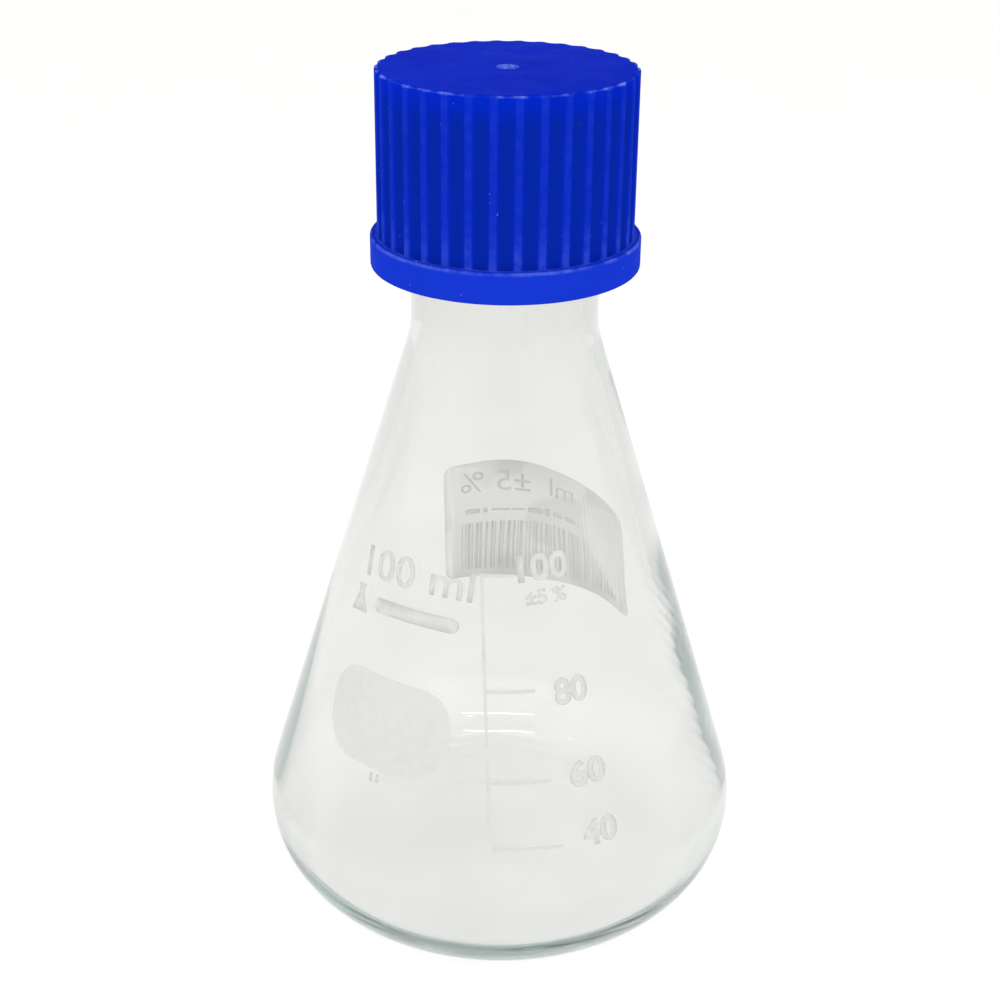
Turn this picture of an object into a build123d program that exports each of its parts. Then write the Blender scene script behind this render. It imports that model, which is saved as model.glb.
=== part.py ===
"""Screw-neck conical flask, nominal 100 ml, with a fluted screw cap and a faced liner.

Sizes are in millimetres. +Z is up, the origin is the centre of the foot on the table, and the
printed graduations face -Y. An azimuth is measured round +Z from -Y, positive towards +X.
"""

import os
from math import asin, cos, degrees, pi, radians, sin, tan

from build123d import *

# Flask body
BODY_RADIUS = 32.0
CONE_ANGLE = 17.15  # between the cone's side and the vertical
HEEL_RADIUS = 13.65  # rounds the side into the foot
FOOT_RADIUS = 7.0  # tighter round below it, down to the flat ring
FOOT_TURN = 40.0  # degrees of turn taken by the tighter round
RING_INNER_RADIUS = 19.5  # inner edge of the flat ring, where the push-up starts
PUSH_UP = 2.3
WALL = 1.6
FLOOR = 1.7
HEEL_INNER_RADIUS = 9.25
FLOOR_BLEND = 20.0

# Neck
NECK_RADIUS = 11.74
SHOULDER_RADIUS = 13.1
BORE_RADIUS = 9.7
BORE_BLEND = 15.0
RIM_HEIGHT = 108.2
RIM_ROUND = 0.6
ROOT_START = 92.4  # the neck is at the thread's root radius from here up
ROOT_TAPER = 1.4  # height over which it narrows to that

# Screw thread, right-handed, nominal 25 mm
PITCH = 3.5
ROOT_RADIUS = 11.3
CREST_RADIUS = 12.4
NECK_THREAD_HALF_WIDTH = 1.25
NECK_THREAD_START = 97.0
NECK_THREAD_TURNS = 1.75
CAP_THREAD_CREST = 11.6
CAP_THREAD_TIP_HALF_WIDTH = 0.3
CAP_THREAD_BASE_HALF_WIDTH = 0.75
CAP_THREAD_TURNS = 2.0
THREAD_BITE = 0.3  # how far a thread's foot reaches into its wall

# Cap
CAP_BOTTOM = 88.0
CAP_TOP = 112.0
FLANGE_TOP = 91.9
FLANGE_RADIUS = 16.65
FLANGE_EDGE = 0.3
CAP_RADIUS = 15.8
CAP_BORE = 12.75
CAP_ROOF = 2.0
CAP_EDGE = 0.3
LEAD_IN = 0.8
FLUTES = 34
FLUTE_DEPTH = 0.42
FLUTE_RADIUS = 1.9
GATE_RADIUS = 1.3
GATE_NUB_RADIUS = 0.5
GATE_DEPTH = 0.25

# Liner under the cap's roof
LINER_RADIUS = 12.3
LINER_GAP = 0.05  # left above the rim and under the roof
FACING = 0.2

# Fired enamel print on the front
ENAMEL = 0.06
MARK_HEIGHTS = (21.2, 29.4, 40.5, 54.4)  # the 40, 60, 80 and 100 ml lines, which are approximate
LINE_WIDTH = 0.4
UPRIGHT_X = (-1.1, -2.5)  # the upright line at the lowest mark and at the highest
TICK_END_X = (8.1, 1.5)  # the far ends of the lowest tick and of the highest
SPOT_AZIMUTH = -35.0
SPOT_HEIGHT = 34.0
SPOT_SIZE = (18.3, 11.4)
SPOT_CORNER = 4.8

# Label stuck on the rear
LABEL_AZIMUTH = 163.0
LABEL_HEIGHT = 41.3
LABEL_SIZE = (28.9, 21.5)
LABEL_TILT = 4.5  # degrees, the label was stuck on a little askew
LABEL_BOW = 1.3  # droop of its level edges where the flat sheet follows the cone
LABEL_CORNER = 1.5
LABEL_THICKNESS = 0.12

SLOPE = tan(radians(CONE_ANGLE))
ACROSS_WALL = 1 / cos(radians(CONE_ANGLE))  # level distance through the side per unit thickness
HEEL_TURN = 90 - FOOT_TURN + CONE_ANGLE
RING_OUTER_RADIUS = BODY_RADIUS - HEEL_RADIUS + (HEEL_RADIUS - FOOT_RADIUS) * sin(radians(FOOT_TURN))
HEEL_CENTRE_RADIUS = BODY_RADIUS - HEEL_RADIUS
HEEL_CENTRE_HEIGHT = FOOT_RADIUS + (HEEL_RADIUS - FOOT_RADIUS) * cos(radians(FOOT_TURN))


def cone_radius(height):
    """Outer radius of the side at a height between the heel and the shoulder."""
    widest = HEEL_CENTRE_RADIUS + HEEL_RADIUS * ACROSS_WALL
    return widest - (height - HEEL_CENTRE_HEIGHT) * SLOPE


def cone_height(radius):
    """Height at which the side has this outer radius."""
    return HEEL_CENTRE_HEIGHT + (cone_radius(HEEL_CENTRE_HEIGHT) - radius) / SLOPE


def floor_curve(base):
    """Smooth S from the push-up's top on the axis out to the flat ring, for a line context."""
    both_radii = (RING_INNER_RADIUS**2 + PUSH_UP**2) / (2 * PUSH_UP)
    turn = degrees(asin(RING_INNER_RADIUS / both_radii))
    dome = JernArc((0, base + PUSH_UP), (1, 0), both_radii - FLOOR_BLEND, -turn)
    return JernArc(dome @ 1, dome % 1, FLOOR_BLEND, turn)


def radial_plane(azimuth, height):
    """Upright plane through the axis that looks outwards at an azimuth, with its y axis up."""
    turn = radians(azimuth)
    x_dir = (cos(turn), sin(turn), 0)
    z_dir = (sin(turn), -cos(turn), 0)
    return Plane(origin=(0, 0, height), x_dir=x_dir, z_dir=z_dir)


def film_section(low, high, thickness):
    """Draw, in an XZ sketch, the section of a film of this thickness on the cone's outside."""
    inner_low, inner_high = cone_radius(low), cone_radius(high)
    outward = thickness * ACROSS_WALL
    outer_side = ((inner_low + outward, low), (inner_high + outward, high))
    Polygon((inner_low, low), *outer_side, (inner_high, high), align=None)


def thread_plane(radius, height):
    """Plane square to a thread's helix where it starts on +X, with its x axis outwards."""
    lead = PITCH / (2 * pi * radius)
    return Plane(origin=(radius, 0, height), x_dir=(1, 0, 0), z_dir=(0, 1, lead))


# The space inside is cut from the flask, and its volume below each line is printed at the end.
floor_corner = (cone_radius(FLOOR) - WALL * ACROSS_WALL, FLOOR)
bore_corner = (BORE_RADIUS, cone_height(BORE_RADIUS + WALL * ACROSS_WALL))
with BuildPart() as contents:
    with BuildSketch(Plane.XZ) as cavity:
        with BuildLine():
            inner_floor = floor_curve(FLOOR)
            Polyline(
                inner_floor @ 1,
                floor_corner,
                bore_corner,
                (BORE_RADIUS, RIM_HEIGHT),
                (0, RIM_HEIGHT),
                (0, FLOOR + PUSH_UP),
            )
        make_face()
        fillet(cavity.vertices().sort_by_distance(floor_corner)[0], HEEL_INNER_RADIUS)
        fillet(cavity.vertices().sort_by_distance(bore_corner)[0], BORE_BLEND)
    revolve(axis=Axis.Z)


with BuildPart() as flask:
    with BuildSketch(Plane.XZ):
        shoulder_foot = NECK_RADIUS + SHOULDER_RADIUS * (1 - cos(radians(CONE_ANGLE)))
        with BuildLine():
            underside = floor_curve(0)
            ring = Line(underside @ 1, (RING_OUTER_RADIUS, 0))
            foot = JernArc(ring @ 1, ring % 1, FOOT_RADIUS, FOOT_TURN)
            heel = JernArc(foot @ 1, foot % 1, HEEL_RADIUS, HEEL_TURN)
            side = Line(heel @ 1, (shoulder_foot, cone_height(shoulder_foot)))
            shoulder = JernArc(side @ 1, side % 1, SHOULDER_RADIUS, -CONE_ANGLE)
            Polyline(
                shoulder @ 1,
                (NECK_RADIUS, ROOT_START - ROOT_TAPER),
                (ROOT_RADIUS, ROOT_START),
                (ROOT_RADIUS, RIM_HEIGHT),
                (0, RIM_HEIGHT),
                (0, PUSH_UP),
            )
        make_face()
    revolve(axis=Axis.Z)
    add(contents.part, mode=Mode.SUBTRACT)
    fillet(flask.edges().filter_by(GeomType.CIRCLE).group_by(Axis.Z)[-1], RIM_ROUND)
    with BuildLine():
        neck_helix = Helix(
            PITCH, PITCH * NECK_THREAD_TURNS, ROOT_RADIUS, center=(0, 0, NECK_THREAD_START)
        )
    with BuildSketch(thread_plane(ROOT_RADIUS, NECK_THREAD_START)):
        with BuildLine():
            crest = ThreePointArc(
                (0, -NECK_THREAD_HALF_WIDTH),
                (CREST_RADIUS - ROOT_RADIUS, 0),
                (0, NECK_THREAD_HALF_WIDTH),
            )
            Polyline(
                crest @ 1,
                (-THREAD_BITE, NECK_THREAD_HALF_WIDTH),
                (-THREAD_BITE, -NECK_THREAD_HALF_WIDTH),
                crest @ 0,
            )
        make_face()
    sweep(path=neck_helix, is_frenet=True)

with BuildPart() as screw_cap:
    with BuildSketch(Plane.XZ) as cap_section:
        with BuildLine():
            Polyline(
                (0, CAP_TOP),
                (CAP_RADIUS, CAP_TOP),
                (CAP_RADIUS, FLANGE_TOP),
                (FLANGE_RADIUS, FLANGE_TOP),
                (FLANGE_RADIUS, CAP_BOTTOM),
                (CAP_BORE + LEAD_IN, CAP_BOTTOM),
                (CAP_BORE, CAP_BOTTOM + LEAD_IN),
                (CAP_BORE, CAP_TOP - CAP_ROOF),
                (0, CAP_TOP - CAP_ROOF),
                close=True,
            )
        make_face()
        fillet(cap_section.vertices().sort_by_distance((CAP_RADIUS, CAP_TOP))[0], CAP_EDGE)
        fillet(cap_section.vertices().sort_by(Axis.X)[-2:], FLANGE_EDGE)
    revolve(axis=Axis.Z)
    with BuildSketch(Plane.XY.offset(FLANGE_TOP)):
        with PolarLocations(CAP_RADIUS - FLUTE_DEPTH + FLUTE_RADIUS, FLUTES, start_angle=-90):
            Circle(FLUTE_RADIUS)
    extrude(amount=CAP_TOP - FLANGE_TOP, mode=Mode.SUBTRACT)
    with BuildSketch(Plane.XY.offset(CAP_TOP)):
        Circle(GATE_RADIUS)
        Circle(GATE_NUB_RADIUS, mode=Mode.SUBTRACT)
    extrude(amount=-GATE_DEPTH, mode=Mode.SUBTRACT)
    # The cap's thread lies midway between the turns of the neck's.
    cap_thread_start = NECK_THREAD_START - PITCH / 2
    with BuildLine():
        cap_helix = Helix(PITCH, PITCH * CAP_THREAD_TURNS, CAP_BORE, center=(0, 0, cap_thread_start))
    with BuildSketch(thread_plane(CAP_BORE, cap_thread_start)):
        tip, base = CAP_THREAD_TIP_HALF_WIDTH, CAP_THREAD_BASE_HALF_WIDTH
        inward = CAP_THREAD_CREST - CAP_BORE
        with BuildLine():
            Polyline(
                (inward, -tip),
                (0, -base),
                (THREAD_BITE, -base),
                (THREAD_BITE, base),
                (0, base),
                (inward, tip),
                close=True,
            )
        make_face()
    sweep(path=cap_helix, is_frenet=True)

facing_bottom = RIM_HEIGHT + LINER_GAP
liner_bottom = facing_bottom + FACING
liner_top = CAP_TOP - CAP_ROOF - LINER_GAP

with BuildPart() as liner_facing:
    with BuildSketch(Plane.XY.offset(facing_bottom)):
        Circle(LINER_RADIUS)
    extrude(amount=FACING)

with BuildPart() as cap_liner:
    with BuildSketch(Plane.XY.offset(liner_bottom)):
        Circle(LINER_RADIUS)
    extrude(amount=liner_top - liner_bottom)

# Each film is a thin shell on the cone, kept where an outline seen from outside covers it.
with BuildPart() as graduation_scale:
    with BuildSketch(Plane.XZ):
        film_section(MARK_HEIGHTS[0] - LINE_WIDTH, MARK_HEIGHTS[-1] + LINE_WIDTH, ENAMEL)
    revolve(axis=Axis.Z)
    with BuildSketch(radial_plane(0, 0)):
        with BuildLine():
            upright = Line((UPRIGHT_X[0], MARK_HEIGHTS[0]), (UPRIGHT_X[1], MARK_HEIGHTS[-1]))
            tick_ends = Line(
                (TICK_END_X[0], MARK_HEIGHTS[0]), (TICK_END_X[1], MARK_HEIGHTS[-1]), mode=Mode.PRIVATE
            )
            for height in MARK_HEIGHTS:
                along = (height - MARK_HEIGHTS[0]) / (MARK_HEIGHTS[-1] - MARK_HEIGHTS[0])
                Line(upright @ along, tick_ends @ along)
        trace(line_width=LINE_WIDTH)
    extrude(amount=BODY_RADIUS, mode=Mode.INTERSECT)

with BuildPart() as marking_spot:
    with BuildSketch(Plane.XZ):
        film_section(SPOT_HEIGHT - SPOT_SIZE[1], SPOT_HEIGHT + SPOT_SIZE[1], ENAMEL)
    revolve(axis=Axis.Z)
    with BuildSketch(radial_plane(SPOT_AZIMUTH, SPOT_HEIGHT)):
        RectangleRounded(*SPOT_SIZE, SPOT_CORNER)
    extrude(amount=BODY_RADIUS, mode=Mode.INTERSECT)

with BuildPart() as rear_label:
    with BuildSketch(Plane.XZ):
        film_section(LABEL_HEIGHT - LABEL_SIZE[1], LABEL_HEIGHT + LABEL_SIZE[1], LABEL_THICKNESS)
    revolve(axis=Axis.Z)
    with BuildSketch(radial_plane(LABEL_AZIMUTH, LABEL_HEIGHT).rotated((0, 0, LABEL_TILT))) as outline:
        half_width, half_height = LABEL_SIZE[0] / 2, LABEL_SIZE[1] / 2
        with BuildLine():
            top = ThreePointArc(
                (-half_width, half_height - LABEL_BOW),
                (0, half_height),
                (half_width, half_height - LABEL_BOW),
            )
            bottom = ThreePointArc(
                (half_width, -half_height - LABEL_BOW),
                (0, -half_height),
                (-half_width, -half_height - LABEL_BOW),
            )
            Line(top @ 1, bottom @ 0)
            Line(bottom @ 1, top @ 0)
        make_face()
        fillet(outline.vertices(), LABEL_CORNER)
    extrude(amount=BODY_RADIUS, mode=Mode.INTERSECT)

pieces = {
    "flask": flask,
    "screw_cap": screw_cap,
    "cap_liner": cap_liner,
    "liner_facing": liner_facing,
    "graduation_scale": graduation_scale,
    "marking_spot": marking_spot,
    "rear_label": rear_label,
}
os.makedirs("parts", exist_ok=True)
for name, piece in pieces.items():
    piece.part.label = name
    export_step(piece.part, f"parts/{name}.step")

for height in MARK_HEIGHTS:
    below = split(contents.part, bisect_by=Plane.XY.offset(height), keep=Keep.BOTTOM)
    print(f"the line at {height} mm holds {below.volume / 1000:.0f} ml")
print(f"brimful {contents.part.volume / 1000:.0f} ml, glass {flask.part.volume / 1000:.1f} cm3")
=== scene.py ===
"""Looks of the screw-neck conical flask: glass, cap, liner, prints and rear label round the CAD frame."""

import random
from math import asin, atan2, cos, degrees, hypot, pi, radians, sin, sqrt, tan

import bmesh
import bpy
from mathutils import Matrix, Vector


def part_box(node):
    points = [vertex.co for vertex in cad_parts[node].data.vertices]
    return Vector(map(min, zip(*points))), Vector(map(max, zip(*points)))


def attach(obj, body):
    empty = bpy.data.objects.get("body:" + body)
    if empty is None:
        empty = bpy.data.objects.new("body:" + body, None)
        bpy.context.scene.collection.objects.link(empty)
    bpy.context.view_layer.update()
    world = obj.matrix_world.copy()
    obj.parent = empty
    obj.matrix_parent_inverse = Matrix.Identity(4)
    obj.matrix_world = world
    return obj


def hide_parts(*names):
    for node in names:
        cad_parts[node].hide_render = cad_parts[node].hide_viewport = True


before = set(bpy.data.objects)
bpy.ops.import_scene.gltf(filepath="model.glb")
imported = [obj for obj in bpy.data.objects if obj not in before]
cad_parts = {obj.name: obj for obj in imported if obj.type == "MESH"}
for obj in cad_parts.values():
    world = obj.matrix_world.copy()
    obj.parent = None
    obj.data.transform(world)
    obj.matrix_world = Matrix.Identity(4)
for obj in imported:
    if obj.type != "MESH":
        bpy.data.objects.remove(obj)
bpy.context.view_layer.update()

MM = 0.001

# Sizes below are in millimetres. The outer ones come from the frame.
flask_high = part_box("flask")[1] / MM
cap_low, cap_high = (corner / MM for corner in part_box("screw_cap"))

BODY_RADIUS = 32.0
RIM_HEIGHT = flask_high.z
CONE_ANGLE = 17.15
HEEL_RADIUS = 13.65
FOOT_RADIUS = 7.0
FOOT_TURN = 40.0
RING_INNER_RADIUS = 19.5
PUSH_UP = 2.3
FLOOR = 1.7
FLOOR_BLEND = 20.0
WALL = 1.6
HEEL_INNER_RADIUS = 9.25
NECK_RADIUS = 11.74
SHOULDER_RADIUS = 13.1
BORE_RADIUS = 9.7
BORE_BLEND = 15.0
RIM_ROUND = 0.6
ROOT_START = 92.4
ROOT_TAPER = 1.4
ROOT_RADIUS = 11.3

PITCH = 3.5
NECK_THREAD_HEIGHT = 1.05
NECK_THREAD_HALF_WIDTH = 1.2
NECK_THREAD_START = 97.0
NECK_THREAD_TURNS = 1.75
CAP_THREAD_HEIGHT = 1.12
CAP_THREAD_TURNS = 2.0
RUN_OUT = 0.12  # share of a turn over which a thread fades in and out

FLUTES = 34
FLUTE_DEPTH = 0.42
FLUTE_RADIUS = 1.9
CAP_RADIUS = 15.8
CAP_BORE = 12.75
CAP_ROOF = 2.0
FLANGE_HEIGHT = 3.9
FLANGE_RADIUS = cap_high.x
LEAD_IN = 0.8

THIN_LEFT = 0.45  # by how much the blown wall is thinner on the left than on the right
SWELL = 0.07  # the inside of the wall sways in and out by this much, five times round
OVAL = 0.10  # and by this much, twice round
WAVE = 0.035  # and by this much up and down its right-hand side
SWAY_TOP = 86.0  # the neck's bore above this height is round
RIPPLE = 0.01  # fine slanting draw marks inside the right-hand wall
RIPPLE_LENGTH = 2.4
RIPPLE_SLANT = 28.0  # fall of a mark, in mm for each radian of turn
RIPPLE_TOP = 50.0
RIPPLE_FOOT = 13.0

HEEL_TURN = 90 - FOOT_TURN + CONE_ANGLE
HEEL_CENTRE_RADIUS = BODY_RADIUS - HEEL_RADIUS
HEEL_CENTRE_HEIGHT = FOOT_RADIUS + (HEEL_RADIUS - FOOT_RADIUS) * cos(radians(FOOT_TURN))
RING_OUTER_RADIUS = HEEL_CENTRE_RADIUS + (HEEL_RADIUS - FOOT_RADIUS) * sin(radians(FOOT_TURN))


def cone_radius(height):
    """Outer radius of the side at a height between the heel and the shoulder."""
    widest = HEEL_CENTRE_RADIUS + HEEL_RADIUS / cos(radians(CONE_ANGLE))
    return widest - (height - HEEL_CENTRE_HEIGHT) * tan(radians(CONE_ANGLE))


def cone_height(radius):
    """Height at which the side has this outer radius."""
    return HEEL_CENTRE_HEIGHT + (cone_radius(HEEL_CENTRE_HEIGHT) - radius) / tan(radians(CONE_ANGLE))


class Outline:
    """A half section drawn like a pen stroke: (radius, height) points and a heading in degrees."""

    def __init__(self, start, heading=0.0):
        self.points = [start]
        self.heading = heading

    def arc(self, radius, turn, step=6.0):
        """Turn left by turn degrees, or right if it is negative, along an arc."""
        side = 1 if turn > 0 else -1
        x, z = self.points[-1]
        facing = radians(self.heading)
        centre = (x - side * radius * sin(facing), z + side * radius * cos(facing))
        count = max(2, round(abs(turn) / step))
        for i in range(1, count + 1):
            now = facing + radians(turn) * i / count
            self.points.append((centre[0] + side * radius * sin(now), centre[1] - side * radius * cos(now)))
        self.heading += turn

    def to(self, x, z, step=2.0):
        """A straight run to a point."""
        x0, z0 = self.points[-1]
        length = hypot(x - x0, z - z0)
        count = max(1, round(length / step))
        for i in range(1, count + 1):
            self.points.append((x0 + (x - x0) * i / count, z0 + (z - z0) * i / count))
        self.heading = degrees(atan2(z - z0, x - x0))


def new_piece(name, mesh_maker, material, body, replaced=()):
    """An object from a bmesh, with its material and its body."""
    mesh = bpy.data.meshes.new(name)
    work = mesh_maker()
    bmesh.ops.recalc_face_normals(work, faces=work.faces)
    for face in work.faces:
        face.smooth = True
    work.to_mesh(mesh)
    work.free()
    piece = bpy.data.objects.new(name, mesh)
    bpy.context.scene.collection.objects.link(piece)
    mesh.materials.append(material)
    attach(piece, body)
    if replaced:
        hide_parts(*replaced)
    return piece


def skin(work, rings, count):
    """Faces between each ring of points and the next. A ring may be a single point on the axis."""
    for below, above in zip(rings, rings[1:]):
        for i in range(count):
            j = (i + 1) % count
            corners = [
                below[i % len(below)], below[j % len(below)], above[j % len(above)], above[i % len(above)],
            ]
            unique = list(dict.fromkeys(corners))
            if len(unique) > 2:
                work.faces.new(unique)


def lathe(rows, segments, shape=None):
    """A closed half section turned round the axis. shape(radius, height, turn, row) may move a radius."""
    work = bmesh.new()
    rings = []
    for row, (radius, height) in enumerate(rows):
        if radius < 1e-6:
            rings.append([work.verts.new((0, 0, height * MM))])
            continue
        ring = []
        for i in range(segments):
            turn = 2 * pi * i / segments
            reach = shape(radius, height, turn, row) if shape else radius
            ring.append(work.verts.new((reach * cos(turn) * MM, reach * sin(turn) * MM, height * MM)))
        rings.append(ring)
    skin(work, rings, segments)
    return work


# ---------------------------------------------------------------- flask


def floor_curve(outline):
    """The smooth S of the push-up, out to the flat ring."""
    both_radii = (RING_INNER_RADIUS**2 + PUSH_UP**2) / (2 * PUSH_UP)
    turn = degrees(asin(RING_INNER_RADIUS / both_radii))
    outline.arc(both_radii - FLOOR_BLEND, -turn, step=1.2)
    outline.arc(FLOOR_BLEND, turn, step=3.0)


def thread_bump(height, turn, start, turns, half_width):
    """0 to 1 at the crest of a round thread on the helix that starts on +X."""
    best = 0.0
    for lap in range(int(turns) + 2):
        travelled = turn / (2 * pi) + lap
        if not 0 <= travelled <= turns:
            continue
        off = abs(height - start - PITCH * travelled) / half_width
        fade = min(1.0, travelled / RUN_OUT, (turns - travelled) / RUN_OUT)
        if off < 1 and fade > 0:
            best = max(best, sqrt(1 - off * off) * sin(fade * pi / 2))
    return best


def flask_rows():
    """Half section of the glass, up the outside and down the inside, and the row where the inside starts."""
    outer = Outline((0, PUSH_UP))
    floor_curve(outer)
    outer.to(RING_OUTER_RADIUS, 0)
    outer.arc(FOOT_RADIUS, FOOT_TURN, step=4)
    outer.arc(HEEL_RADIUS, HEEL_TURN, step=3)
    shoulder_foot = NECK_RADIUS + SHOULDER_RADIUS * (1 - cos(radians(CONE_ANGLE)))
    outer.to(shoulder_foot, cone_height(shoulder_foot), step=1.5)
    outer.arc(SHOULDER_RADIUS, -CONE_ANGLE, step=2)
    outer.to(NECK_RADIUS, ROOT_START - ROOT_TAPER, step=1.2)
    outer.to(ROOT_RADIUS, ROOT_START, step=0.3)
    outer.to(ROOT_RADIUS, RIM_HEIGHT - RIM_ROUND, step=0.22)
    outer.arc(RIM_ROUND, 90, step=18)
    outer.to(BORE_RADIUS + RIM_ROUND, RIM_HEIGHT, step=0.2)
    outer.arc(RIM_ROUND, 90, step=18)
    wall_across = WALL / cos(radians(CONE_ANGLE))
    bore_corner_height = cone_height(BORE_RADIUS + wall_across)
    tangent = BORE_BLEND * tan(radians(CONE_ANGLE / 2))
    inside_start = len(outer.points)
    outer.to(BORE_RADIUS, bore_corner_height + tangent, step=1.5)
    outer.arc(BORE_BLEND, CONE_ANGLE, step=2)
    lean = radians(CONE_ANGLE)
    cone_offset = HEEL_CENTRE_RADIUS * cos(lean) + HEEL_CENTRE_HEIGHT * sin(lean) + HEEL_RADIUS - WALL
    heel_height = FLOOR + HEEL_INNER_RADIUS
    heel_centre = (cone_offset - HEEL_INNER_RADIUS - heel_height * sin(lean)) / cos(lean)
    heel_top = (heel_centre + HEEL_INNER_RADIUS * cos(lean), heel_height + HEEL_INNER_RADIUS * sin(lean))
    shoulder = outer.points[-1]
    share = (shoulder[1] - RIPPLE_TOP) / (shoulder[1] - heel_top[1])
    outer.to(shoulder[0] + (heel_top[0] - shoulder[0]) * share, RIPPLE_TOP, step=1.5)
    outer.to(*heel_top, step=0.5)
    outer.arc(HEEL_INNER_RADIUS, -(90 + CONE_ANGLE), step=3)
    inner_floor = Outline((0, PUSH_UP + FLOOR))
    floor_curve(inner_floor)
    outer.to(RING_INNER_RADIUS, FLOOR)
    outer.points += inner_floor.points[-2::-1]
    return outer.points, inside_start


def within(distance, blend):
    """0 before an edge, 1 from a blend's length past it, and straight between them."""
    return min(1.0, max(0.0, distance / blend))


def flask_mesh():
    """The glass: its inside is a little uneven, as blown glass is, and its neck has the thread."""
    rows, inside_start = flask_rows()

    def shape(radius, height, turn, row):
        if row >= inside_start:
            sway = within(height - FLOOR, 8) * within(SWAY_TOP - height, 10)
            swell = SWELL * sin(5 * turn + height * 0.11) - OVAL * sin(2 * turn + 0.6)
            wave = WAVE * sin(height * 0.55 + 2 * sin(turn * 2)) * (0.5 + 0.5 * cos(turn - 0.2))
            from_right = (turn + pi) % (2 * pi) - pi
            fade = within(RIPPLE_TOP - height, 6) * within(height - RIPPLE_FOOT, 4)
            strokes = sin(2 * pi * (height + RIPPLE_SLANT * from_right) / RIPPLE_LENGTH)
            drawn = RIPPLE * fade * max(0.0, cos(turn)) ** 4 * strokes
            return radius + sway * (swell + wave + THIN_LEFT * (1 - cos(turn)) / 2) + drawn
        if ROOT_START <= height <= RIM_HEIGHT - RIM_ROUND:
            return radius + NECK_THREAD_HEIGHT * thread_bump(
                height, turn, NECK_THREAD_START, NECK_THREAD_TURNS, NECK_THREAD_HALF_WIDTH
            )
        return radius

    return lathe(rows, 256, shape)


# ---------------------------------------------------------------- cap


def flute_reach(share):
    """Radius of the fluted wall at a share of half a flute's pitch from the flute's middle, 0 to 1."""
    turn = share * pi / FLUTES
    centre = CAP_RADIUS - FLUTE_DEPTH + FLUTE_RADIUS
    across = centre * sin(turn)
    if abs(across) >= FLUTE_RADIUS:
        return CAP_RADIUS
    return min(CAP_RADIUS, centre * cos(turn) - sqrt(FLUTE_RADIUS**2 - across**2))


FLUTE_SHARES = (0.0, 0.18, 0.36, 0.54, 0.68, 0.76, 0.82)  # then the ridge's middle at 1


def flute_turns():
    """Angles round the cap, finer towards each ridge, with a flute's middle on -Y."""
    shares = [-s for s in reversed(FLUTE_SHARES[1:])] + list(FLUTE_SHARES) + [1.0]
    turns = []
    for flute in range(FLUTES):
        for share in shares:
            turns.append((-pi / 2 + (2 * flute + share) * pi / FLUTES, abs(share)))
    return turns


def cap_mesh():
    """The cap: rows of (radius, height, share of the flutes), with the thread inside."""
    bottom, top = cap_low.z, cap_high.z
    ledge = bottom + FLANGE_HEIGHT
    roof = top - CAP_ROOF
    rows = [(0.0, roof, 0)]
    rows += [(r, roof, 0) for r in (4.0, 8.0, 11.5)]
    inner = Outline((CAP_BORE - 0.5, roof), 0)
    inner.arc(0.5, -90, step=30)
    rows += [(x, z, 0) for x, z in inner.points]
    thread_low = NECK_THREAD_START - PITCH / 2 - 1.2
    thread_high = NECK_THREAD_START + PITCH * (CAP_THREAD_TURNS - 0.5) + 1.2
    count = round((thread_high - thread_low) / 0.16)
    rows += [(CAP_BORE, thread_high - (thread_high - thread_low) * i / count, 0) for i in range(count + 1)]
    rows += [(CAP_BORE, bottom + LEAD_IN, 0), (CAP_BORE + LEAD_IN, bottom + 0.02, 0)]
    flange = Outline((CAP_BORE + LEAD_IN + 0.2, bottom), 0)
    flange.to(FLANGE_RADIUS - 0.3, bottom)
    flange.arc(0.3, 90, step=22)
    flange.to(FLANGE_RADIUS, ledge - 0.3, step=1.2)
    flange.arc(0.3, 90, step=22)
    rows += [(x, z, 0) for x, z in flange.points]
    wall = Outline((CAP_RADIUS + 0.12, ledge), 180)
    wall.arc(0.12, -90, step=45)
    wall.to(CAP_RADIUS, top - 0.28, step=2.5)
    wall.arc(0.28, 90, step=18)
    rows += [(x, z, 1) for x, z in wall.points]
    rows += [(r, top, 0) for r in (14.6, 11, 7, 4, 2.4, 1.5)]
    gate = Outline((1.35, top), 180)
    gate.arc(0.08, 80, step=40)
    gate.to(1.2, top - 0.25, step=0.3)
    gate.to(0.62, top - 0.25, step=0.4)
    gate.to(0.5, top - 0.1, step=0.3)
    rows += [(x, z, 0) for x, z in gate.points] + [(0.0, top - 0.06, 0)]
    turns = flute_turns()
    work = bmesh.new()
    rings = []
    for radius, height, fluted in rows:
        if radius == 0:
            rings.append([work.verts.new((0, 0, height * MM))])
            continue
        ring = []
        for turn, share in turns:
            reach = radius - (CAP_RADIUS - flute_reach(share)) * fluted
            if fluted == 0 and radius == CAP_BORE and thread_low <= height <= thread_high:
                reach -= CAP_THREAD_HEIGHT * cap_thread(height, turn % (2 * pi))
            ring.append(work.verts.new((reach * cos(turn) * MM, reach * sin(turn) * MM, height * MM)))
        rings.append(ring)
    skin(work, rings, len(turns))
    return work


def cap_thread(height, turn):
    """0 to 1 on the cap's thread, a ridge with sloping flanks."""
    best = 0.0
    for lap in range(int(CAP_THREAD_TURNS) + 2):
        travelled = turn / (2 * pi) + lap
        if not 0 <= travelled <= CAP_THREAD_TURNS:
            continue
        off = abs(height - (NECK_THREAD_START - PITCH / 2) - PITCH * travelled)
        fade = min(1.0, travelled / RUN_OUT, (CAP_THREAD_TURNS - travelled) / RUN_OUT)
        best = max(best, min(1.0, max(0.0, (0.75 - off) / 0.42)) * max(0.0, fade))
    return best


# ---------------------------------------------------------------- liner

FILM_SLACK = 0.01
RIM_DENT = 0.04  # the mark of the rim in the facing film


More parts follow.
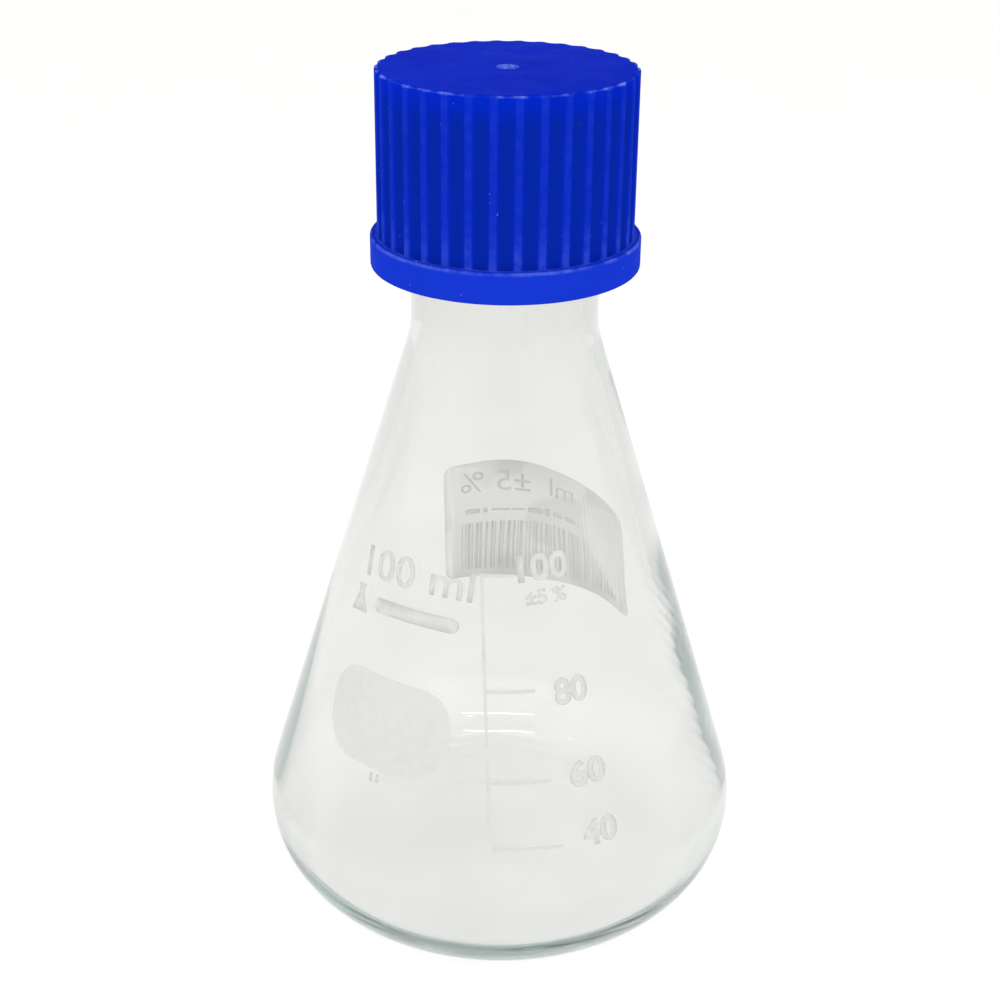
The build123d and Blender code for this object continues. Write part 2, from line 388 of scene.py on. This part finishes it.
def liner_mesh(low, high, dent_from_below=0.0):
    """A round disc with soft edges, and a dent where the rim presses."""
    edge = 0.08 if high - low < 0.5 else 0.2
    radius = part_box("cap_liner")[1].x / MM
    section = Outline((0, low))
    section.to(BORE_RADIUS - 0.1, low, step=1.5)
    section.to(BORE_RADIUS + 0.15, low + dent_from_below, step=0.2)
    section.to(ROOT_RADIUS - 0.15, low + dent_from_below, step=0.4)
    section.to(ROOT_RADIUS + 0.1, low, step=0.2)
    section.to(radius - edge, low, step=0.6)
    section.heading = 0
    section.arc(edge, 90, step=30)
    section.to(radius, high - edge, step=0.5)
    section.arc(edge, 90, step=30)
    section.to(0.0, high, step=2.0)
    return lathe(section.points, 128)


# ---------------------------------------------------------------- prints

LEAN = radians(CONE_ANGLE)
PRINT_GAP = 0.012
PRINT_THICKNESS = 0.05
PRINT_TILT = 2.3
SLICE = 0.8  # widest straight step across a print, so that it follows the side


def on_side(x, y, azimuth, height, proud):
    """Where a flat print's point (x right, y up) lies. Its origin is at an azimuth from -Y and a height."""
    from_apex = cone_radius(height) / sin(LEAN)
    reach = hypot(x, from_apex - y) * sin(LEAN)
    turn = radians(azimuth) + atan2(x, from_apex - y) / sin(LEAN)
    radius = reach + proud * cos(LEAN)
    return Vector((radius * sin(turn), -radius * cos(turn), cone_height(reach) + proud * sin(LEAN)))


def fitted(work, width, height, x=0.0, y=0.0):
    """The flat faces scaled to a width and height round a middle point."""
    low = [min(vert.co[axis] for vert in work.verts) for axis in (0, 1)]
    high = [max(vert.co[axis] for vert in work.verts) for axis in (0, 1)]
    for vert in work.verts:
        share_x = (vert.co.x - low[0]) / (high[0] - low[0]) - 0.5
        share_y = (vert.co.y - low[1]) / (high[1] - low[1]) - 0.5
        vert.co = (x + share_x * width, y + share_y * height, 0)
    return work


def letters(text, width, height, weight=0.0, x=0.0, y=0.0):
    """Flat faces of some letters, fitted to a width and height. weight thickens the strokes."""
    curve = bpy.data.curves.new("letters", "FONT")
    curve.body = text
    curve.offset = weight
    curve.resolution_u = 5
    holder = bpy.data.objects.new("letters", curve)
    mesh = bpy.data.meshes.new_from_object(holder)
    work = bmesh.new()
    work.from_mesh(mesh)
    bmesh.ops.remove_doubles(work, verts=work.verts, dist=1e-5)
    bpy.data.meshes.remove(mesh)
    bpy.data.objects.remove(holder)
    bpy.data.curves.remove(curve)
    return fitted(work, width, height, x, y)


def polygon(work, points):
    """One flat face, cut into triangles."""
    face = work.faces.new([work.verts.new((x, y, 0)) for x, y in points])
    bmesh.ops.triangulate(work, faces=[face])
    return work


def rounded_bar(work, x, y, width, height, corner=0.0):
    """A flat rectangle round a middle point, with round corners."""
    if corner == 0:
        across, up = width / 2, height / 2
        corners = [(x - across, y - up), (x + across, y - up), (x + across, y + up), (x - across, y + up)]
        return polygon(work, corners)
    points = []
    for quarter in range(4):
        side_x = 1 if quarter in (0, 3) else -1
        side_y = 1 if quarter in (0, 1) else -1
        for step in range(7):
            turn = (quarter + step / 6) * pi / 2
            points.append((
                x + side_x * (width / 2 - corner) + corner * cos(turn),
                y + side_y * (height / 2 - corner) + corner * sin(turn),
            ))
    return polygon(work, points)


def film(work, azimuth, height, tilt=0.0, gap=PRINT_GAP, thickness=PRINT_THICKNESS):
    """Wrap flat faces on the side as a thin closed film. tilt turns them anticlockwise, in degrees."""
    lowest = min(vert.co.x for vert in work.verts)
    highest = max(vert.co.x for vert in work.verts)
    cuts = int((highest - lowest) / SLICE)
    for i in range(1, cuts + 1):
        place = lowest + (highest - lowest) * i / (cuts + 1)
        everything = work.verts[:] + work.edges[:] + work.faces[:]
        bmesh.ops.bisect_plane(work, geom=everything, plane_co=(place, 0, 0), plane_no=(1, 0, 0))
    raised = bmesh.ops.extrude_face_region(work, geom=work.faces[:], use_keep_orig=True)
    outside = {item for item in raised["geom"] if isinstance(item, bmesh.types.BMVert)}
    turn = radians(tilt)
    for vert in work.verts:
        x = vert.co.x * cos(turn) - vert.co.y * sin(turn)
        y = vert.co.x * sin(turn) + vert.co.y * cos(turn)
        vert.co = on_side(x, y, azimuth, height, gap + thickness * (vert in outside)) * MM
    return work


def add_print(name, flat, azimuth, height, coat):
    new_piece(name, lambda: film(flat, azimuth, height, PRINT_TILT), coat, "flask")


def scale_numbers(coat):
    """The bold numbers beside the scale: text, azimuth, height, width. The tolerance is below the first."""
    for text, azimuth, height, width in (
        ("100", 15.0, 55.3, 6.5), ("80", 21.2, 40.1, 4.4), ("60", 23.9, 29.8, 4.9), ("40", 25.6, 22.2, 4.8),
    ):
        add_print("number_" + text, letters(text, width, 3.5, 0.035), azimuth, height, coat)
    add_print("tolerance_mark", letters("\u00b15 %", 5.2, 1.9, 0.03), 15.6, 51.8, coat)


def flask_sign():
    """Flat faces of the sign above the writing patch: a small flask and a plain rule."""
    work = bmesh.new()
    polygon(work, [(-8.6, -1.7), (-5.4, -1.7), (-6.5, 0.6), (-6.5, 1.4), (-7.5, 1.4), (-7.5, 0.6)])
    rounded_bar(work, -7.0, 1.65, 1.5, 0.3)
    rounded_bar(work, 2.2, 0.0, 12.6, 1.9, 0.9)
    return work


def lot_dashes():
    """Flat faces of two short dashes below the writing patch."""
    work = bmesh.new()
    rounded_bar(work, -0.55, 0, 0.35, 1.1)
    rounded_bar(work, 0.45, 0, 0.35, 1.1)
    return work


def capacity_prints(coat):
    """What is printed to the left of the scale: the capacity, a sign and two dashes."""
    add_print("capacity_mark", letters("100 ml", 16.2, 4.0, 0.008), -32.8, 53.0, coat)
    add_print("flask_sign", flask_sign(), -36.5, 48.0, coat)
    add_print("lot_dashes", lot_dashes(), -34.5, 27.2, coat)


# ---------------------------------------------------------------- rear label

LABEL_AZIMUTH = 163.0
LABEL_HEIGHT = 41.3
LABEL_WIDTH = 31.0
LABEL_TALL = 22.5
LABEL_TILT = 4.5
LABEL_CORNER = 1.5
GLUE_GAP = 0.03
GLUE_THICKNESS = 0.015
GLUE_INSET = 0.05
PAPER_GAP = 0.05
PAPER_THICKNESS = 0.08
INK_GAP = 0.132
INK_THICKNESS = 0.01


def label_bars(work, low, high):
    """Upright bars of chance widths, which stand for no number."""
    chance = random.Random(7)
    x = -LABEL_WIDTH * 0.42
    while x < LABEL_WIDTH * 0.42:
        width = chance.choice((0.16, 0.16, 0.3, 0.45))
        rounded_bar(work, x + width / 2, (low + high) / 2, width, high - low)
        x += width + chance.choice((0.2, 0.2, 0.35, 0.5))
    return work


def label_dashes(work, y):
    """A line of short dashes of chance lengths in place of words."""
    chance = random.Random(3)
    x = -LABEL_WIDTH * 0.43
    while x < LABEL_WIDTH * 0.40:
        width = chance.uniform(0.5, 2.6)
        rounded_bar(work, x + width / 2, y, width, chance.choice((0.35, 0.9, 1.5)))
        x += width + chance.uniform(0.35, 0.7)
    return work


def label_ink():
    """Flat faces of all that is printed on the label."""
    work = letters("100 ml  \u00b15 %", LABEL_WIDTH * 0.84, LABEL_TALL * 0.165, 0.0, y=LABEL_TALL * 0.34)
    label_dashes(work, LABEL_TALL * 0.095)
    return label_bars(work, -LABEL_TALL * 0.43, -LABEL_TALL * 0.01)


def add_label(paper, glue, ink, faint_ink):
    """The label's layers: paper, the glue behind it, its ink, and what of the ink shows through the paper."""
    def layer(name, flat, gap, thickness, coat, replaced=()):
        new_piece(
            name, lambda: film(flat, LABEL_AZIMUTH, LABEL_HEIGHT, LABEL_TILT, gap, thickness), coat, "flask",
            replaced,
        )

    def sheet(inset):
        width, tall = LABEL_WIDTH - 2 * inset, LABEL_TALL - 2 * inset
        return rounded_bar(bmesh.new(), 0, 0, width, tall, LABEL_CORNER)

    layer("label_paper", sheet(0), PAPER_GAP, PAPER_THICKNESS, paper, ["rear_label"])
    layer("label_glue", sheet(GLUE_INSET), GLUE_GAP, GLUE_THICKNESS, glue)
    layer("label_ink", label_ink(), INK_GAP, INK_THICKNESS, ink)
    layer("label_show_through", label_ink(), PRINT_GAP, INK_THICKNESS, faint_ink)


# ---------------------------------------------------------------- materials


def material(name):
    """A node material with its Principled shader."""
    made = bpy.data.materials.new(name)
    made.use_nodes = True
    return made, made.node_tree.nodes["Principled BSDF"]


def node(tree, kind, **inputs):
    """A shader node with some inputs set, by names with _ for spaces."""
    made = tree.nodes.new(kind)
    for key, value in inputs.items():
        made.inputs[key.replace("_", " ")].default_value = value
    return made


def ramp(tree, source, stops):
    """A colour ramp on a value: stops of (place, grey or colour)."""
    made = tree.nodes.new("ShaderNodeValToRGB")
    elements = made.color_ramp.elements
    while len(elements) < len(stops):
        elements.new(0.5)
    for element, (place, colour) in zip(elements, stops):
        element.position = place
        element.color = (*colour, 1) if isinstance(colour, tuple) else (colour, colour, colour, 1)
    tree.links.new(source, made.inputs["Fac"])
    return made.outputs["Color"]


def noise(tree, scale, detail=4.0, roughness=0.55, stretch=(1, 1, 1)):
    """Noise in the row frame, with features of about 1/scale metres."""
    place = tree.nodes.new("ShaderNodeTexCoord")
    mapping = tree.nodes.new("ShaderNodeMapping")
    mapping.inputs["Scale"].default_value = stretch
    tree.links.new(place.outputs["Object"], mapping.inputs["Vector"])
    made = node(tree, "ShaderNodeTexNoise", Scale=scale, Detail=detail, Roughness=roughness)
    tree.links.new(mapping.outputs["Vector"], made.inputs["Vector"])
    return made.outputs["Fac"]


def colour_mix(tree, blend, first, second, share=1.0):
    """Two colours multiplied, added or mixed. share may be a value or a socket."""
    made = tree.nodes.new("ShaderNodeMix")
    made.data_type = "RGBA"
    made.blend_type = blend
    if isinstance(share, float):
        made.inputs["Factor"].default_value = share
    else:
        tree.links.new(share, made.inputs["Factor"])
    for value, socket in ((first, "A"), (second, "B")):
        if isinstance(value, tuple):
            made.inputs[socket].default_value = (*value, 1)
        else:
            tree.links.new(value, made.inputs[socket])
    return next(output for output in made.outputs if output.type == "RGBA")


def bump(tree, shader, height, strength, distance):
    """Fine relief on a shader, from a value."""
    made = node(tree, "ShaderNodeBump", Strength=strength, Distance=distance)
    tree.links.new(height, made.inputs["Height"])
    tree.links.new(made.outputs["Normal"], shader.inputs["Normal"])


GLASS_IOR = 1.474
GLASS_TINT = (0.32, 0.56, 0.53)
TINT_DENSITY = 15.0
NECK_DARKENING_HEIGHTS = (35.0, 88.0)


def glass_material():
    """Clear glass with a green tint in its thickness, a little duller towards the neck."""
    made, shader = material("clear_borosilicate")
    tree = made.node_tree
    washed = ramp(tree, noise(tree, 45, 3), [(0.35, (0.915, 0.915, 0.908)), (0.65, (0.94, 0.94, 0.933))])
    # The glass's colour is darker towards the neck, between these two heights.
    height = place_of(tree)[1]
    towards_neck = share_between(tree, height, NECK_DARKENING_HEIGHTS[0] * MM, NECK_DARKENING_HEIGHTS[1] * MM)
    neck_darkening = ramp(tree, towards_neck, [(0.0, 1.0), (0.45, 0.975), (1.0, 0.935)])
    tree.links.new(colour_mix(tree, "MULTIPLY", washed, neck_darkening), shader.inputs["Base Color"])
    shader.inputs["Transmission Weight"].default_value = 1.0
    shader.inputs["IOR"].default_value = GLASS_IOR
    haze = ramp(tree, noise(tree, 90, 3), [(0.45, 0.0), (0.75, 0.02)])
    tree.links.new(haze, shader.inputs["Roughness"])
    bump(tree, shader, noise(tree, 60, 2, stretch=(1, 1, 0.35)), 0.12, 0.0004)
    volume = tree.nodes.new("ShaderNodeVolumeAbsorption")
    volume.inputs["Color"].default_value = (*GLASS_TINT, 1)
    volume.inputs["Density"].default_value = TINT_DENSITY
    tree.links.new(volume.outputs["Volume"], tree.nodes["Material Output"].inputs["Volume"])
    # Lamps and the floor's own light pass straight through, so that the floor under the flask is lit.
    path = tree.nodes.new("ShaderNodeLightPath")
    straight = math(tree, "MAXIMUM", path.outputs["Is Shadow Ray"], path.outputs["Is Diffuse Ray"])
    clear = tree.nodes.new("ShaderNodeBsdfTransparent")
    clear.inputs["Color"].default_value = (0.985, 0.985, 0.985, 1)
    mix = tree.nodes.new("ShaderNodeMixShader")
    tree.links.new(straight, mix.inputs["Fac"])
    tree.links.new(shader.outputs["BSDF"], mix.inputs[1])
    tree.links.new(clear.outputs["BSDF"], mix.inputs[2])
    tree.links.new(mix.outputs["Shader"], tree.nodes["Material Output"].inputs["Surface"])
    return made


def math(tree, operation, first, second=0.0):
    """One step of arithmetic on values or sockets."""
    made = tree.nodes.new("ShaderNodeMath")
    made.operation = operation
    for value, socket in ((first, made.inputs[0]), (second, made.inputs[1])):
        if isinstance(value, (int, float)):
            socket.default_value = value
        else:
            tree.links.new(value, socket)
    return made.outputs["Value"]


def place_of(tree):
    """The point's distance from the axis and its height, as two sockets, in metres."""
    place = tree.nodes.new("ShaderNodeTexCoord")
    split = tree.nodes.new("ShaderNodeSeparateXYZ")
    tree.links.new(place.outputs["Object"], split.inputs["Vector"])
    x_squared = math(tree, "POWER", split.outputs["X"], 2)
    y_squared = math(tree, "POWER", split.outputs["Y"], 2)
    return math(tree, "SQRT", math(tree, "ADD", x_squared, y_squared)), split.outputs["Z"]


def share_between(tree, value, low, high):
    """0 at low, 1 at high, and straight between them."""
    made = tree.nodes.new("ShaderNodeMapRange")
    made.inputs["From Min"].default_value = low
    made.inputs["From Max"].default_value = high
    tree.links.new(value, made.inputs["Value"])
    return made.outputs["Result"]


def cap_material():
    """Moulded blue plastic: painted shade in the flutes, painted light on the flange, ridges and edges, and a
    few specks.
    """
    made, shader = material("blue_polypropylene")
    tree = made.node_tree
    radius, height = place_of(tree)
    flange_top = cap_low.z + FLANGE_HEIGHT

    mottle = ramp(
        tree, noise(tree, 70, 5),
        [(0.3, (0.0005, 0.015, 0.45)), (0.55, (0.0008, 0.018, 0.51)), (0.8, (0.002, 0.023, 0.56))],
    )
    # Painted shade: the flutes' hollows are painted a darker blue, fading out towards the roof's edge.
    in_flute = share_between(tree, radius, (CAP_RADIUS + 0.1) * MM, (CAP_RADIUS - FLUTE_DEPTH) * MM)
    off_roof = share_between(tree, radius, (CAP_RADIUS - 0.9) * MM, (CAP_RADIUS - 0.7) * MM)
    below_edge = share_between(tree, height, (cap_high.z - 0.5) * MM, (cap_high.z - 3.5) * MM)
    depth = math(tree, "MULTIPLY", math(tree, "MULTIPLY", in_flute, off_roof), below_edge)
    # Painted light: the flange's face is painted a lighter blue than the rest of the cap, as a painted sheen.
    on_flange = share_between(tree, radius, (CAP_RADIUS + 0.5) * MM, (CAP_RADIUS + 0.7) * MM)
    flange_lit = colour_mix(tree, "MIX", mottle, (0.012, 0.045, 0.62), math(tree, "MULTIPLY", on_flange, 0.6))
    # The painted shade of the flutes goes on here.
    flute_shaded = colour_mix(tree, "MIX", flange_lit, (0.0016, 0.018, 0.32), depth)

    # Painted highlight: the ridges' crests are painted a paler blue, most strongly near the flange and in
    # patches.
    crest = share_between(tree, radius, (CAP_RADIUS - 0.20) * MM, (CAP_RADIUS - 0.01) * MM)
    off_flange = share_between(tree, radius, (CAP_RADIUS + 0.45) * MM, (CAP_RADIUS + 0.2) * MM)
    low_down = share_between(tree, height, (flange_top + 5) * MM, flange_top * MM)
    ridge_highlight_strength = math(tree, "ADD", math(tree, "MULTIPLY", low_down, 0.40), 0.13)
    patchy = ramp(tree, noise(tree, 700, 3), [(0.35, 0.35), (0.7, 1.0)])
    ridge = math(tree, "MULTIPLY", crest, off_flange)
    ridge_highlight = math(tree, "MULTIPLY", ridge, math(tree, "MULTIPLY", ridge_highlight_strength, patchy))
    ridge_highlighted = colour_mix(tree, "MIX", flute_shaded, (0.05, 0.11, 0.64), ridge_highlight)

    # Painted highlight: the roof's outer edge and, half as strongly, the flange's top edge are painted pale
    # blue, broken up by noise.
    rim = math(
        tree, "MULTIPLY",
        share_between(tree, height, (cap_high.z - 0.30) * MM, (cap_high.z - 0.06) * MM),
        share_between(tree, radius, (CAP_RADIUS - 0.50) * MM, (CAP_RADIUS - 0.30) * MM),
    )
    ledge = math(
        tree, "MULTIPLY",
        share_between(tree, height, (flange_top - 0.45) * MM, (flange_top - 0.15) * MM),
        share_between(tree, radius, (FLANGE_RADIUS - 0.40) * MM, (FLANGE_RADIUS - 0.15) * MM),
    )
    highlight_breaks = ramp(tree, noise(tree, 420, 4), [(0.42, 0.05), (0.62, 0.75)])
    edges = math(tree, "MULTIPLY", math(tree, "MAXIMUM", rim, math(tree, "MULTIPLY", ledge, 0.5)), highlight_breaks)
    edge_highlighted = colour_mix(tree, "MIX", ridge_highlighted, (0.16, 0.26, 0.82), edges)

    at_gate = share_between(tree, radius, 1.42 * MM, 1.30 * MM)
    on_roof = share_between(tree, height, (cap_high.z - 0.6) * MM, (cap_high.z - 0.5) * MM)
    pale_gate = ramp(tree, noise(tree, 1400, 2), [(0.35, 0.25), (0.6, 0.8)])
    gate_mark = math(tree, "MULTIPLY", math(tree, "MULTIPLY", at_gate, on_roof), pale_gate)
    marked = colour_mix(tree, "MIX", edge_highlighted, (0.16, 0.27, 0.80), gate_mark)

    specks = ramp(tree, noise(tree, 1500, 1), [(0.785, 0.0), (0.81, 0.4)])
    dotted = colour_mix(tree, "MIX", marked, (0.30, 0.40, 0.80), specks)
    tree.links.new(dotted, shader.inputs["Base Color"])
    shader.inputs["Specular IOR Level"].default_value = 0.001
    rough = ramp(tree, noise(tree, 240, 4), [(0.35, 0.34), (0.7, 0.46)])
    tree.links.new(rough, shader.inputs["Roughness"])
    bump(tree, shader, noise(tree, 2600, 3), 0.10, 0.00006)
    return made


def enamel_material(name, thin, thick, dull, bright, scale):
    """White enamel on glass, whose cover varies between two shares of opaqueness."""
    made, shader = material(name)
    tree = made.node_tree
    colour = ramp(tree, noise(tree, 900, 4), [(0.3, dull), (0.7, bright)])
    tree.links.new(colour, shader.inputs["Base Color"])
    cover = ramp(tree, noise(tree, scale, 5), [(0.3, thin), (0.7, thick)])
    tree.links.new(cover, shader.inputs["Alpha"])
    shader.inputs["Roughness"].default_value = 0.5
    shader.inputs["Specular IOR Level"].default_value = 0.3
    bump(tree, shader, noise(tree, 4000, 2), 0.2, 0.00002)
    return made


def paper_material(name, low, high, scale, edge=0.2):
    """Paper or glue whose tone changes in patches. edge is how soft the patches are."""
    made, shader = material(name)
    tree = made.node_tree
    patches = ramp(tree, noise(tree, scale, 1.5), [(0.5 - edge / 2, low), (0.5 + edge / 2, high)])
    tree.links.new(patches, shader.inputs["Base Color"])
    shader.inputs["Roughness"].default_value = 0.8
    shader.inputs["Specular IOR Level"].default_value = 0.1
    bump(tree, shader, noise(tree, 2500, 4), 0.3, 0.00003)
    return made


def plastic_material(name, low, high, roughness):
    made, shader = material(name)
    tree = made.node_tree
    tree.links.new(ramp(tree, noise(tree, 300, 4), [(0.3, low), (0.7, high)]), shader.inputs["Base Color"])
    shader.inputs["Roughness"].default_value = roughness
    bump(tree, shader, noise(tree, 1500, 3), 0.15, 0.00005)
    return made


glass = glass_material()
cap_blue = cap_material()
enamel = enamel_material("white_enamel", 0.80, 0.95, (0.67, 0.68, 0.67), (0.71, 0.72, 0.71), 260)
patch_enamel = enamel_material("thin_white_enamel", 0.50, 0.66, (0.71, 0.73, 0.72), (0.75, 0.77, 0.76), 70)
paper = paper_material("label_paper", (0.80, 0.80, 0.79), (0.84, 0.84, 0.83), 1500)
glue = paper_material("label_glue", (0.85, 0.84, 0.825), (0.97, 0.96, 0.945), 75, edge=0.04)
ink = plastic_material("label_ink", (0.02, 0.02, 0.02), (0.05, 0.05, 0.05), 0.6)
faint_ink = plastic_material("show_through", (0.70, 0.69, 0.68), (0.76, 0.75, 0.74), 0.8)
silicone = plastic_material("silicone_rubber", (0.70, 0.69, 0.66), (0.76, 0.75, 0.72), 0.5)
facing = plastic_material("facing_film", (0.80, 0.80, 0.79), (0.86, 0.86, 0.85), 0.3)

new_piece("flask_glass", flask_mesh, glass, "flask", ["flask"])
new_piece("cap_body", cap_mesh, cap_blue, "cap", ["screw_cap"])
liner_low, liner_high = (corner.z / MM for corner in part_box("cap_liner"))
facing_low, facing_high = (corner.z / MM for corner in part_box("liner_facing"))
new_piece(
    "liner_disc", lambda: liner_mesh(liner_low, liner_high), silicone, "liner", ["cap_liner"],
)
new_piece(
    "liner_film", lambda: liner_mesh(facing_low, facing_high - FILM_SLACK, RIM_DENT), facing, "liner",
    ["liner_facing"],
)

for kept_node, coat in (("graduation_scale", enamel), ("marking_spot", patch_enamel)):
    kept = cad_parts[kept_node]
    kept.data.materials.clear()
    kept.data.materials.append(coat)
scale_numbers(enamel)
capacity_prints(enamel)
add_label(paper, glue, ink, faint_ink)

# ---------------------------------------------------------------- stage

# Lengths on the stage are in metres, except EDGE_REACH: two distances from the flask's axis in millimetres.
TENT_LOW = (0.97, 0.95, 0.935)
TENT_HIGH = (1.0, 0.985, 0.97)
TENT_TOP = (0.55, 0.54, 0.53)
KEY_SIDE = (0.85, -0.35, 0.5)  # and its mirror image on the left
KEY_TONE = (0.35, 0.345, 0.34)
FLOOR_RADIUS = 2.5
FLOOR_GLOW = 0.14
EDGE_NEAR_TONE = (0.38, 0.44, 0.42)
EDGE_FAR_TONE = (0.84, 0.85, 0.83)
EDGE_REACH = (95.0, 135.0)
LAMP_DISTANCE = 0.9
LAMP_AIM = Vector((0, 0, 0.06))
FLOOR_DROP = 0.0001  # the flask stands on a few points of its ring, so air is under all of it


def add_floor():
    """A round white floor that glows a little, just under the flask's ring."""
    mesh = bpy.data.meshes.new("floor")
    work = bmesh.new()
    bmesh.ops.create_circle(work, cap_ends=True, segments=96, radius=FLOOR_RADIUS)
    work.to_mesh(mesh)
    work.free()
    floor = bpy.data.objects.new("floor", mesh)
    bpy.context.scene.collection.objects.link(floor)
    made, shader = material("white_floor")
    tree = made.node_tree
    tree.links.new(
        ramp(tree, noise(tree, 30, 3), [(0.3, (0.90, 0.90, 0.90)), (0.7, (0.92, 0.92, 0.92))]),
        shader.inputs["Base Color"],
    )
    shader.inputs["Roughness"].default_value = 0.9
    shader.inputs["Specular IOR Level"].default_value = 0.1
    shader.inputs["Emission Color"].default_value = (1, 0.99, 0.975, 1)
    shader.inputs["Emission Strength"].default_value = FLOOR_GLOW
    # Where light crosses glass only twice, as through a wall seen edgewise, the floor shows a painted shadow
    # of the flask: it glows grey-green near the flask and almost white further off.
    path = tree.nodes.new("ShaderNodeLightPath")
    edgewise = math(tree, "COMPARE", path.outputs["Transmission Depth"], 2.0)
    nearby = share_between(tree, place_of(tree)[0], EDGE_REACH[1] * MM, EDGE_REACH[0] * MM)
    edge_shadow_glow = tree.nodes.new("ShaderNodeEmission")
    tree.links.new(ramp(tree, nearby, [(0, EDGE_FAR_TONE), (1, EDGE_NEAR_TONE)]), edge_shadow_glow.inputs["Color"])
    choice = tree.nodes.new("ShaderNodeMixShader")
    tree.links.new(edgewise, choice.inputs["Fac"])
    tree.links.new(shader.outputs["BSDF"], choice.inputs[1])
    tree.links.new(edge_shadow_glow.outputs["Emission"], choice.inputs[2])
    tree.links.new(choice.outputs["Shader"], tree.nodes["Material Output"].inputs["Surface"])
    mesh.materials.append(made)
    floor.location.z = -FLOOR_DROP


def add_lamp(name, azimuth, elevation, width, depth, power):
    """A lamp that gives the glass bright glints. Its azimuth is from -Y, and both angles are in degrees."""
    data = bpy.data.lights.new(name, "AREA")
    data.shape = "RECTANGLE"
    data.size = width
    data.size_y = depth
    data.energy = power
    lamp = bpy.data.objects.new(name, data)
    level = LAMP_DISTANCE * cos(radians(elevation))
    rise = LAMP_DISTANCE * sin(radians(elevation))
    lamp.location = LAMP_AIM + Vector((level * sin(radians(azimuth)), -level * cos(radians(azimuth)), rise))
    lamp.rotation_euler = (LAMP_AIM - lamp.location).to_track_quat("-Z", "Y").to_euler()
    bpy.context.scene.collection.objects.link(lamp)


def add_world():
    """A white tent, brightest to the left and right of the front."""
    world = bpy.data.worlds.new("studio")
    bpy.context.scene.world = world
    world.use_nodes = True
    tree = world.node_tree
    place = tree.nodes.new("ShaderNodeTexCoord")
    split = tree.nodes.new("ShaderNodeSeparateXYZ")
    tree.links.new(place.outputs["Generated"], split.inputs["Vector"])
    tent = ramp(
        tree, split.outputs["Z"], [(0.0, TENT_LOW), (0.12, TENT_LOW), (0.5, TENT_HIGH), (0.95, TENT_TOP)],
    )
    both_sides = tree.nodes.new("ShaderNodeCombineXYZ")
    tree.links.new(math(tree, "ABSOLUTE", split.outputs["X"]), both_sides.inputs["X"])
    tree.links.new(split.outputs["Y"], both_sides.inputs["Y"])
    tree.links.new(split.outputs["Z"], both_sides.inputs["Z"])
    towards = tree.nodes.new("ShaderNodeVectorMath")
    towards.operation = "DOT_PRODUCT"
    tree.links.new(both_sides.outputs["Vector"], towards.inputs[0])
    towards.inputs[1].default_value = Vector(KEY_SIDE).normalized()
    key = ramp(tree, towards.outputs["Value"], [(0.55, (0, 0, 0)), (1.0, KEY_TONE)])
    both = colour_mix(tree, "ADD", tent, key)
    tree.links.new(both, tree.nodes["Background"].inputs["Color"])


CAMERA_PLACE = (0, -0.215455, 0.15744)
CAMERA_LENS = 65.3
# The camera's angles are in degrees.
CAMERA_LOOKS_DOWN = 25.351
CAMERA_YAW = 0.0914
CAMERA_ROLL = 0.6


def add_camera():
    """The flask seen from its front and from a little above."""
    data = bpy.data.cameras.new("camera")
    data.lens = CAMERA_LENS
    data.sensor_width = 36.0
    data.clip_start, data.clip_end = 0.01, 20.0
    camera = bpy.data.objects.new("camera", data)
    camera.matrix_world = (
        Matrix.Translation(CAMERA_PLACE)
        @ Matrix.Rotation(radians(CAMERA_YAW), 4, "Z")
        @ Matrix.Rotation(radians(90 - CAMERA_LOOKS_DOWN), 4, "X")
        @ Matrix.Rotation(radians(CAMERA_ROLL), 4, "Z")
    )
    bpy.context.scene.collection.objects.link(camera)
    bpy.context.scene.camera = camera


add_floor()
add_lamp("right_lamp", 25, 56, 0.04, 0.04, 0.10)
add_lamp("strip_lamp", 0, 52, 0.60, 0.05, 1.3)
add_world()
add_camera()
bpy.context.scene.view_settings.view_transform = "Standard"
# Light runs along the thick glass in many reflections, so its paths are not cut short.
bpy.context.scene.cycles.max_bounces = 64
bpy.context.scene.cycles.glossy_bounces = 56
bpy.context.scene.cycles.transmission_bounces = 56
